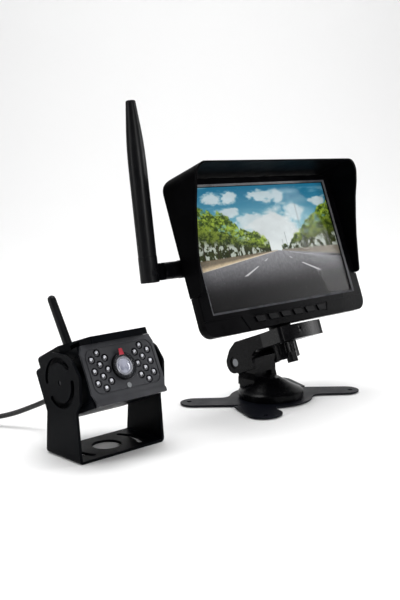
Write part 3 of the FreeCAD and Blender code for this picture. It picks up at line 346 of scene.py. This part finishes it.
for n, o in nodes.items():
    m = NODE_MAT.get(n)
    if m is None:
        continue
    if len(o.data.materials) == 0:
        o.data.materials.append(m)
    for k in range(len(o.data.materials)):
        o.data.materials[k] = m

# the lead's jacket carries a faint diagonal lay: the bump gives its ridges, and the lighter and darker colour bands
# along it are painted highlight and shade
m, nt, b = new_mat("lead_jacket")
tc = nt.nodes.new("ShaderNodeTexCoord")
wv = nt.nodes.new("ShaderNodeTexWave")
wv.inputs["Scale"].default_value = 190.0
wv.inputs["Distortion"].default_value = 1.5
nt.links.new(tc.outputs["Object"], wv.inputs["Vector"])
nz = noise(nt, tc.outputs["Object"], 900.0)
# the wave's light and dark bands are painted highlight and shade along the lay
cr = ramp(nt, wv.outputs["Fac"], [(0.2, (0.0055, 0.0055, 0.0060)), (0.8, (0.0130, 0.0130, 0.0140))])
nt.links.new(cr.outputs["Color"], b.inputs["Base Color"])
ad = nt.nodes.new("ShaderNodeMath")
ad.operation = "ADD"
nt.links.new(wv.outputs["Fac"], ad.inputs[0])
nt.links.new(nz.outputs["Fac"], ad.inputs[1])
bp = nt.nodes.new("ShaderNodeBump")
bp.inputs["Strength"].default_value = 0.3
bp.inputs["Distance"].default_value = 0.0001
nt.links.new(ad.outputs[0], bp.inputs["Height"])
nt.links.new(bp.outputs["Normal"], b.inputs["Normal"])
mr = nt.nodes.new("ShaderNodeMapRange")
mr.inputs["To Min"].default_value = 0.38
mr.inputs["To Max"].default_value = 0.55
nt.links.new(nz.outputs["Fac"], mr.inputs["Value"])
nt.links.new(mr.outputs["Result"], b.inputs["Roughness"])
curve.materials.append(m)

# ------------------------------------------------------------------ softened edges on the CAD pieces
for n, w in (("front_bezel", 0.35), ("sun_hood", 0.45), ("tilt_arm", 0.3), ("clamp_knob", 0.3), ("base_dome", 0.15), ("base_plate", 0.25),
             ("camera_bracket", 0.35), ("housing_body", 0.4), ("housing_cap", 0.5), ("face_plate", 0.2), ("rear_cover", 0.4), ("rear_case", 0.4),
             ("pivot_bolt", 0.2), ("pivot_nut", 0.3), ("cable_gland", 0.3), ("antenna_rod", 0.25), ("antenna_collar", 0.2), ("lens_ring", 0.2),
             ("dc_connector", 0.3)):
    o = nodes[n]
    wd = o.modifiers.new("weld", "WELD")
    wd.merge_threshold = 0.00001
    bv = o.modifiers.new("edge", "BEVEL")
    bv.width = w * MM
    bv.segments = 2
    bv.limit_method = "ANGLE"
    bv.angle_limit = math.radians(28)
    bv.use_clamp_overlap = True
    bv.harden_normals = False
    wn = o.modifiers.new("normals", "WEIGHTED_NORMAL")
    wn.keep_sharp = True
    wn.weight = 60

# ------------------------------------------------------------------ the picture on the screen
NX, NY = 660, 396
uu, vv = np.meshgrid((np.arange(NX) + 0.5) / NX, (np.arange(NY) + 0.5) / NY)


def hash_grid(seed, n):
    rng = np.random.default_rng(seed)
    return rng.random((n, n))


def smooth_noise(u, v, seed, n=64):
    g = hash_grid(seed, n)
    x, y = u % n, v % n
    x0, y0 = np.floor(x).astype(int) % n, np.floor(y).astype(int) % n
    x1, y1 = (x0 + 1) % n, (y0 + 1) % n
    fx, fy = x - np.floor(x), y - np.floor(y)
    fx, fy = fx * fx * (3 - 2 * fx), fy * fy * (3 - 2 * fy)
    return (g[y0, x0] * (1 - fx) + g[y0, x1] * fx) * (1 - fy) + (g[y1, x0] * (1 - fx) + g[y1, x1] * fx) * fy


def fbm(u, v, seed, octaves=5):
    s, a, t = 0, 1.0, 0
    for k in range(octaves):
        s = s + a * smooth_noise(u * 2 ** k, v * 2 ** k, seed + k)
        t += a
        a *= 0.55
    return s / t


def sstep(a0, a1, x):
    t = np.clip((x - a0) / (a1 - a0), 0, 1)
    return t * t * (3 - 2 * t)


def mixc(a0, b0, f):
    f = f[..., None]
    return a0 * (1 - f) + b0 * f


def rgb(r, g, b):
    return np.array([r, g, b], float) / 255.0


VP = (0.535, 0.572)
sky_top, sky_low = rgb(34, 108, 140), rgb(158, 205, 214)
img = mixc(np.broadcast_to(sky_top, uu.shape + (3,)), sky_low, sstep(0.0, 0.55, vv))
# cloud banks: a big one over the vanishing point, puffs along the top
cn = fbm(uu * 9, vv * 12, 11)
d1 = np.sqrt(((uu - 0.56) / 0.24) ** 2 + ((vv - 0.44) / 0.20) ** 2)
cl = sstep(0.25, -0.25, d1 - 1.0 - (cn - 0.5) * 1.3)
for cx, cy, rx, ry, sd in ((0.19, 0.10, 0.06, 0.045, 3), (0.29, 0.09, 0.055, 0.055, 4), (0.52, 0.09, 0.085, 0.05, 5), (0.63, 0.09, 0.05, 0.055, 6), (0.27, 0.22, 0.07, 0.04, 7),
                           (0.72, 0.25, 0.08, 0.08, 8), (0.93, 0.16, 0.06, 0.05, 9), (0.42, 0.30, 0.10, 0.06, 12)):
    n2 = fbm(uu * 22, vv * 26, 40 + sd)
    d2 = np.sqrt(((uu - cx) / rx) ** 2 + ((vv - cy) / ry) ** 2)
    cl = np.maximum(cl, 0.85 * sstep(0.3, -0.3, d2 - 1.0 - (n2 - 0.5) * 1.5))
wisps = sstep(0.55, 0.8, fbm(uu * 4 + vv * 2, vv * 16, 77)) * 0.4
cl = np.clip(np.maximum(cl, wisps * sstep(0.4, 0.1, vv)), 0, 1)
shade = 0.86 + 0.14 * fbm(uu * 14, vv * 18, 21)
img = mixc(img, rgb(226, 234, 235) * shade[..., None], cl)
haze = np.exp(-((vv - 0.56) / 0.07) ** 2)
img = mixc(img, np.broadcast_to(rgb(228, 234, 233), img.shape), haze * 0.8)
# rows of trees on both sides, shrinking to the vanishing point
left_t = VP[0] - uu
right_t = uu - VP[0]
tn = fbm(uu * 46, vv * 40, 31)
tn2 = fbm(uu * 120, vv * 100, 57, 3)
crown_l = 0.555 - 0.03 - left_t * 0.86 + (fbm(uu * 26, vv * 9, 91) - 0.5) * 0.16
crown_l = np.where(left_t > 0.36, np.maximum(crown_l, 0.175 + (fbm(uu * 26, vv * 9, 93) - 0.5) * 0.12), crown_l)
foot_l = 0.570 + left_t * 0.055
in_l = (left_t > 0.045) * sstep(-0.012, 0.012, vv - crown_l) * sstep(0.006, -0.006, vv - foot_l)
crown_r = 0.555 - (right_t - 0.035) * 0.92 + (fbm(uu * 24, vv * 9, 95) - 0.5) * 0.15
foot_r = 0.565 + right_t * 0.04
in_r = (right_t > 0.035) * sstep(-0.012, 0.012, vv - crown_r) * sstep(0.006, -0.006, vv - foot_r)
for mask, side, dist in ((in_l, -1, left_t), (in_r, 1, right_t)):
    depth = np.clip(dist / 0.5, 0, 1)
    crown = 0.555 - dist * (0.86 if side < 0 else 0.92)
    rel = (vv - crown) / np.maximum(0.56 - crown, 0.02)
    leaf = mixc(np.broadcast_to(rgb(44, 64, 18), img.shape), np.broadcast_to(rgb(156, 180, 62), img.shape), sstep(0.35, 0.66, tn * 0.6 + tn2 * 0.4))
    shadow_side = sstep(0.15, 0.6, rel)[..., None]
    leaf = leaf * (1.0 - 0.30 * shadow_side)
    under = sstep(0.60, 0.82, rel)
    gap = sstep(0.50, 0.62, fbm(uu * 60, vv * 30, 61)) * under
    dark = mixc(leaf, np.broadcast_to(rgb(34, 38, 20), img.shape), under * 0.75)
    back = np.broadcast_to(rgb(206, 214, 206), img.shape)
    col = mixc(dark, back, gap * 0.85)
    holes = sstep(0.60, 0.70, fbm(uu * 34, vv * 30, 71 + side)) * 0.55 * sstep(0.7, 0.3, rel)
    img = mixc(img, col, mask * (1 - holes))
    # trunks
    for k in range(13):
        dpos = 0.055 * 1.22 ** k
        if dpos > 0.56:
            break
        x = VP[0] + side * dpos
        w = 0.0028 + 0.006 * dpos
        hgt = dpos * 0.36
        body = sstep(w, w * 0.4, np.abs(uu - x - (vv - 0.55) * 0.03 * side)) * (vv > 0.572 - hgt * 0.62) * (vv < 0.572 + dpos * 0.05)
        img = mixc(img, np.broadcast_to(rgb(48, 42, 32), img.shape), body * 0.8)
# verge and kerb on the left, low wall on the right
vl0, vl1 = 0.568 + left_t * 0.045, 0.572 + left_t * 0.205
verge = (left_t > 0.0) * sstep(-0.004, 0.004, vv - vl0) * sstep(0.004, -0.004, vv - vl1)
img = mixc(img, np.broadcast_to(rgb(172, 150, 120), img.shape) * (0.62 + 0.62 * sstep(0.35, 0.9, (vv - vl0) / np.maximum(vl1 - vl0, 1e-3)))[..., None] * (0.85 + 0.3 * tn2[..., None]), verge * 0.9)
kerb = (left_t > 0.0) * np.exp(-((vv - vl1) / 0.006) ** 2)
img = mixc(img, np.broadcast_to(rgb(216, 208, 192), img.shape), kerb * 0.85)
wr0, wr1 = 0.566 + right_t * 0.03, 0.570 + right_t * 0.20
wall = (right_t > 0.03) * sstep(-0.004, 0.004, vv - wr0) * sstep(0.004, -0.004, vv - wr1)
img = mixc(img, np.broadcast_to(rgb(128, 119, 106), img.shape) * (0.85 + 0.3 * tn2[..., None]), wall * 0.95)
# road
road = np.where(uu < VP[0], vv > vl1, vv > wr1)
asp = 0.9 + 0.2 * fbm(uu * 150, vv * 60, 17, 2)
far = np.clip((vv - 0.56) / 0.44, 0, 1)
streak = fbm((uu - VP[0]) / np.maximum(far, 0.04) * 7, vv * 5, 23, 3)
road_c = (mixc(np.broadcast_to(rgb(140, 140, 144), img.shape), np.broadcast_to(rgb(36, 35, 37), img.shape), sstep(0.0, 0.85, far))
          * asp[..., None] * (0.92 + 0.16 * streak[..., None]))
img = mixc(img, road_c, road.astype(float))
shadow = (right_t > 0.2) * np.exp(-((vv - wr1 - 0.012) / 0.01) ** 2) * sstep(0.3, 0.42, right_t)
img = mixc(img, np.broadcast_to(rgb(36, 34, 36), img.shape), shadow * 0.8)
line = (right_t > 0.08) * np.exp(-((vv - (0.572 + right_t * 0.275)) / 0.0035) ** 2) * sstep(0.55, 0.2, right_t)
img = mixc(img, np.broadcast_to(rgb(205, 205, 208), img.shape), line * 0.5)


def dash(u0, v0, u1, v1, w0, w1, amount=0.95):
    global img
    tt = np.clip((vv - v0) / (v1 - v0), 0, 1)
    uc = u0 + (u1 - u0) * tt
    w = w0 + (w1 - w0) * tt
    mk = sstep(w, w * 0.55, np.abs(uu - uc)) * sstep(v0 - 0.004, v0 + 0.004, vv) * sstep(v1 + 0.004, v1 - 0.004, vv)
    img = mixc(img, np.broadcast_to(rgb(236, 236, 238), img.shape), mk * amount * 0.8)


dash(0.372, 0.683, 0.272, 0.752, 0.008, 0.016)
dash(0.448, 0.628, 0.425, 0.648, 0.006, 0.009, 0.7)
dash(0.688, 0.697, 0.812, 0.786, 0.008, 0.016)
dash(0.606, 0.634, 0.622, 0.648, 0.006, 0.009, 0.6)
# lamp posts
for x, top, w in ((0.745, 0.17, 0.0035), (0.615, 0.42, 0.002), (0.585, 0.48, 0.0015), (0.935, 0.42, 0.003)):
    post = sstep(w, w * 0.4, np.abs(uu - x)) * (vv > top) * (vv < 0.575)
    img = mixc(img, np.broadcast_to(rgb(104, 116, 122), img.shape), post * 0.75)
# the picture darkens towards its foot and corners
vig = 1 - 0.55 * sstep(0.72, 1.0, vv) - 0.18 * sstep(0.42, 0.52, np.abs(uu - 0.5))
img = np.clip(img * vig[..., None], 0, 1)
lin = np.where(img <= 0.04045, img / 12.92, ((img + 0.055) / 1.055) ** 2.4)

SW, SH, SY = 152.4, 91.4, 2.03
gx, gz = np.meshgrid(np.arange(NX + 1) / NX, np.arange(NY + 1) / NY)
co = np.stack([(gx - 0.5) * SW, np.full_like(gx, SY), (0.5 - gz) * SH], -1).reshape(-1, 3) * MM
R = np.array(F_M)
co = co @ R[:3, :3].T + R[:3, 3]
ii = (np.arange(NY)[:, None] * (NX + 1) + np.arange(NX)[None, :]).ravel()
quads = np.stack([ii, ii + NX + 1, ii + NX + 2, ii + 1], -1)
me = bpy.data.meshes.new("screen_image")
me.vertices.add(len(co))
me.vertices.foreach_set("co", co.astype(np.float32).ravel())
me.loops.add(quads.size)
me.loops.foreach_set("vertex_index", quads.ravel())
me.polygons.add(len(quads))
me.polygons.foreach_set("loop_start", np.arange(0, quads.size, 4))
me.update(calc_edges=True)
pad = np.pad(lin, ((0, 1), (0, 1), (0, 0)), mode="edge")
att = me.color_attributes.new("picture", "FLOAT_COLOR", "POINT")
att.data.foreach_set("color", np.concatenate([pad.reshape(-1, 3), np.ones((len(co), 1))], 1).astype(np.float32).ravel())
pic = bpy.data.objects.new("screen_image", me)
scene.collection.objects.link(pic)
m, nt, b = new_mat("lit_picture")
vc = nt.nodes.new("ShaderNodeVertexColor")
vc.layer_name = "picture"
tc = nt.nodes.new("ShaderNodeTexCoord")
nz = noise(nt, tc.outputs["Object"], 400.0)
mr = nt.nodes.new("ShaderNodeMapRange")
mr.inputs["To Min"].default_value = 0.25
mr.inputs["To Max"].default_value = 0.35
nt.links.new(nz.outputs["Fac"], mr.inputs["Value"])
nt.links.new(mr.outputs["Result"], b.inputs["Roughness"])
dk = nt.nodes.new("ShaderNodeMixRGB")
dk.blend_type = "MULTIPLY"
dk.inputs[0].default_value = 1.0
dk.inputs[2].default_value = (0.12, 0.12, 0.12, 1)
nt.links.new(vc.outputs["Color"], dk.inputs[1])
nt.links.new(dk.outputs["Color"], b.inputs["Base Color"])
nt.links.new(vc.outputs["Color"], b.inputs["Emission Color"])
b.inputs["Emission Strength"].default_value = 0.95
b.inputs["Specular IOR Level"].default_value = 0.1
me.materials.append(m)
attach(pic, "monitor")

# ------------------------------------------------------------------ lens behind the film
def lathe(name, prof, segs, fr, centre, mat, body):
    """Turned piece about the y axis of frame fr; prof is a list of (radius, y) in mm."""
    bm = bmesh.new()
    rings = []
    for r, y in prof:
        if r < 1e-6:
            rings.append([bm.verts.new(mmat(fr, centre[0], y, centre[1]))])
        else:
            rings.append([bm.verts.new(mmat(fr, centre[0] + r * math.cos(2 * math.pi * k / segs), y, centre[1] + r * math.sin(2 * math.pi * k / segs))) for k in range(segs)])
    for r0, r1 in zip(rings, rings[1:]):
        for k in range(segs):
            k2 = (k + 1) % segs
            vs = []
            for v in (r0[k % len(r0)], r0[k2 % len(r0)], r1[k2 % len(r1)], r1[k % len(r1)]):
                if v not in vs:
                    vs.append(v)
            f = bm.faces.new(vs)
            f.smooth = True
    bmesh.ops.recalc_face_normals(bm, faces=bm.faces)
    mesh = bpy.data.meshes.new(name)
    bm.to_mesh(mesh)
    bm.free()
    mesh.materials.append(mat)
    o = bpy.data.objects.new(name, mesh)
    scene.collection.objects.link(o)
    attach(o, body)
    return o


LZ = -1.7
rim_glass = clear("lens_rim_glass", (0.26, 0.265, 0.30), 0.10, ior=1.5, trans=0.0, spec=0.7)
dome_m, _nt, _b = new_mat("lens_dome")
_tc = _nt.nodes.new("ShaderNodeTexCoord")
_nz = noise(_nt, _tc.outputs["Object"], 210.0, 2.0, 0.5)
# the dome's grey base colour lightens in blotches: painted highlight on the glass
_cr = ramp(_nt, _nz.outputs["Fac"], [(0.40, (0.20, 0.21, 0.27)), (0.56, (0.42, 0.43, 0.52))])
_nt.links.new(_cr.outputs["Color"], _b.inputs["Base Color"])
_b.inputs["Roughness"].default_value = 0.07
_b.inputs["Specular IOR Level"].default_value = 0.8
collar_m = grained("lens_collar", (0.004, 0.004, 0.005), 0.25, spec=0.25, grain=2500, bump=0.05, depth=0.00002)
prof = [(7.15, -24.0), (7.15, -24.7), (6.95, -24.9), (6.5, -24.9), (6.2, -24.6), (6.1, -24.2)]
o = lathe("lens_front_collar", prof, 64, F_T, (0.0, LZ), collar_m, "camera")
prof = [(6.1, -24.2), (6.05, -24.65), (5.8, -24.85), (5.3, -24.9), (4.9, -24.6), (4.7, -24.3)]
o = lathe("lens_front_rim", prof, 64, F_T, (0.0, LZ), rim_glass, "camera")
prof = [(4.75, -24.2)] + [(4.7 * math.sin(math.radians(90 - 9 * k)), -24.2 - 1.0 * math.sin(math.radians(9 * k))) for k in range(1, 10)] + [(0.0, -25.2)]
o = lathe("lens_front_dome", prof, 64, F_T, (0.0, LZ), dome_m, "camera")

# ------------------------------------------------------------------ painted glint on each infrared LED: a bright cap just proud of its dome
# the caps' light grey colour is a painted glint standing in for each LED's highlight
led_glint_m = grained("painted_led_glint", (0.62, 0.63, 0.68), 0.18, spec=0.6, grain=2500, bump=0.05, depth=0.00002)
led_o = nodes["ir_leds"]
led_me = led_o.data
parent = list(range(len(led_me.vertices)))


def root(i):
    while parent[i] != i:
        parent[i] = parent[parent[i]]
        i = parent[i]
    return i


for e in led_me.edges:
    a0, b0 = root(e.vertices[0]), root(e.vertices[1])
    if a0 != b0:
        parent[a0] = b0
groups = {}
inv_t = F_T.inverted()
for v in led_me.vertices:
    p = inv_t @ (led_o.matrix_world @ v.co) / MM
    key = root(v.index)
    groups.setdefault(key, []).append(p)
boxes = [(min(p.x for p in g), max(p.x for p in g), min(p.z for p in g), max(p.z for p in g), min(p.y for p in g)) for g in groups.values()]
glint_spots = []
for bx in boxes:
    cxl, czl, yl = (bx[0] + bx[1]) / 2, (bx[2] + bx[3]) / 2, bx[4]
    if any(abs(cxl - c[0]) < 1.0 and abs(czl - c[1]) < 1.0 for c in glint_spots):
        continue
    glint_spots.append((cxl, czl, min(b2[4] for b2 in boxes if abs((b2[0] + b2[1]) / 2 - cxl) < 1.0 and abs((b2[2] + b2[3]) / 2 - czl) < 1.0)))
print("led cups", len(glint_spots), [tuple(round(q, 2) for q in c) for c in glint_spots[:3]])
# each painted glint sits up and to the left of its LED's centre
for k, (cxl, czl, yl) in enumerate(glint_spots):
    rr = 2.35
    prof = [(r, yl - 0.05 + (rr - math.sqrt(rr * rr - r * r))) for r in (1.15, 0.95, 0.7, 0.4)] + [(0.0, yl - 0.05)]
    o = lathe("led_cup_%d" % (k + 1), prof, 20, F_T, (cxl - 0.25, czl + 0.25), led_glint_m, "camera")

# ------------------------------------------------------------------ lighter chamfer round the screen's window: a painted highlight
def strip(name, loop_a, loop_b, mat, body):
    bm = bmesh.new()
    va = [bm.verts.new(mmat(F_M, *p)) for p in loop_a]
    vb = [bm.verts.new(mmat(F_M, *p)) for p in loop_b]
    n = len(va)
    for k in range(n):
        bm.faces.new((va[k], va[(k + 1) % n], vb[(k + 1) % n], vb[k]))
    bmesh.ops.recalc_face_normals(bm, faces=bm.faces)
    mesh = bpy.data.meshes.new(name)
    bm.to_mesh(mesh)
    bm.free()
    mesh.materials.append(mat)
    o = bpy.data.objects.new(name, mesh)
    scene.collection.objects.link(o)
    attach(o, body)
    return o


# the strip's light grey colour is a painted highlight on the black bezel's chamfer
chamfer_highlight_m = grained("painted_highlight_chamfer", (0.060, 0.061, 0.068), 0.30, spec=0.5, grain=2500, bump=0.05, depth=0.00002)
hw_w, zb_w, zt_w = 76.4, -45.9, 45.9
ring_in = [(-hw_w, 0.68, zb_w), (hw_w, 0.68, zb_w), (hw_w, 0.68, zt_w), (-hw_w, 0.68, zt_w)]
ring_out = [(-hw_w - 1.55, -0.07, zb_w - 1.55), (hw_w + 1.55, -0.07, zb_w - 1.55), (hw_w + 1.55, -0.07, zt_w + 1.55), (-hw_w - 1.55, -0.07, zt_w + 1.55)]
o = strip("window_chamfer_highlight", ring_in, ring_out, chamfer_highlight_m, "monitor")

# ------------------------------------------------------------------ floor, backdrop, light
def sweep():
    bm = bmesh.new()
    prof = [(-3.0, 0.0), (1.2, 0.0)]
    for k in range(1, 13):
        a0 = math.radians(90 * k / 12)
        prof.append((1.2 + 0.8 * math.sin(a0), 0.8 - 0.8 * math.cos(a0)))
    prof.append((2.0, 4.0))
    f = Vector((0.660155, 0.737230, 0)).normalized()
    s = Vector((f.y, -f.x, 0))
    rows = []
    for d, z in prof:
        rows.append([bm.verts.new(f * d + s * w + Vector((0, 0, z - 0.00002))) for w in (-5.0, 5.0)])
    for r0, r1 in zip(rows, rows[1:]):
        fc = bm.faces.new((r0[0], r0[1], r1[1], r1[0]))
        fc.smooth = True
    mesh = bpy.data.meshes.new("floor")
    bm.to_mesh(mesh)
    bm.free()
    return mesh


floor = bpy.data.objects.new("floor", sweep())
scene.collection.objects.link(floor)
m, nt, b = new_mat("pale_floor")
b.inputs["Base Color"].default_value = (0.90, 0.90, 0.90, 1)
b.inputs["Roughness"].default_value = 0.9
b.inputs["Specular IOR Level"].default_value = 0.1
floor.data.materials.append(m)


def area(name, loc, target, size, power, size_y=None, col=(1, 1, 1)):
    ld = bpy.data.lights.new(name, "AREA")
    ld.energy = power
    ld.color = col
    ld.shape = "RECTANGLE"
    ld.size = size
    ld.size_y = size_y or size
    o = bpy.data.objects.new(name, ld)
    o.location = loc
    o.rotation_euler = (Vector(target) - Vector(loc)).to_track_quat("-Z", "Y").to_euler()
    scene.collection.objects.link(o)
    return o


area("top", (0.05, 0.15, 1.5), (0, 0, 0), 1.4, 20, 1.4)
area("left_strip", (-1.05, 0.35, 0.55), (-0.05, 0, 0.1), 0.25, 3.5, 0.9)
area("right_strip", (1.0, -0.58, 0.32), (0, 0, 0.06), 0.24, 6, 0.75)
area("front_strip", (-0.22, -1.15, 0.52), (-0.05, 0, 0.08), 0.22, 4.5, 0.5)
area("back_wall", (0.3, 0.5, 2.2), (1.3, 1.5, 0.6), 1.5, 30, 1.5)
w = bpy.data.worlds.new("world")
scene.world = w
w.use_nodes = True
w.node_tree.nodes["Background"].inputs["Color"].default_value = (1, 1, 1, 1)
w.node_tree.nodes["Background"].inputs["Strength"].default_value = 0.05
scene.view_settings.view_transform = "Standard"
